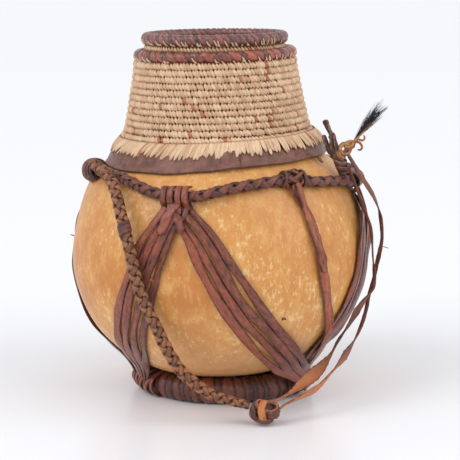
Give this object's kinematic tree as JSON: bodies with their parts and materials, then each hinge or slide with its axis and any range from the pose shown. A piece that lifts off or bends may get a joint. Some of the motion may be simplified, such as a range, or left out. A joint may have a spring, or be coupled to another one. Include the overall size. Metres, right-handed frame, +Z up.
{
  "type": "gourd vessel",
  "caption": "Round gourd vessel with a coiled basketry neck, a basketry lid, a leather-wrapped foot ring, leather support straps and a plaited carrying strap.",
  "frame": {"origin": "on the floor at the centre of the foot ring, which is the middle of the vessel's footprint without its loose strap", "axes": "+Z up; -Y towards the viewer, the side on which the loose strap hangs; +X to the viewer's right"},
  "size_m": [0.2714, 0.2673, 0.3108],
  "materials": {
    "gourd_skin": "dried, scraped and rubbed gourd shell with a low sheen",
    "palm_fibre": "matt split palm leaf sewn in coils",
    "collar_leather": "dull purple-brown hide, shrunk on",
    "binding_leather": "red-brown hide, polished by handling",
    "strap_leather": "dry red-brown hide strips with worn edges",
    "braid_leather": "dry brown hide, plaited",
    "thong_hide": "thin orange-brown hide, twisted and frayed"
  },
  "bodies": {
    "root": {"gourd": "gourd_skin", "neck_basket": "palm_fibre", "lid_basket": "palm_fibre", "collar": "collar_leather", "neck_rim_binding": "binding_leather", "lid_rim_binding": "binding_leather", "foot_ring": "binding_leather", "shoulder_cord": "strap_leather", "front_straps": "strap_leather", "right_straps": "strap_leather", "left_straps": "strap_leather", "single_strap": "strap_leather", "left_knot": "strap_leather", "front_knot": "strap_leather", "right_knot": "strap_leather", "carry_braid": "braid_leather", "floor_knot": "thong_hide", "outer_thong": "thong_hide", "inner_thong": "thong_hide", "tail_and_tuft": "thong_hide"}
  },
  "joints": []
}
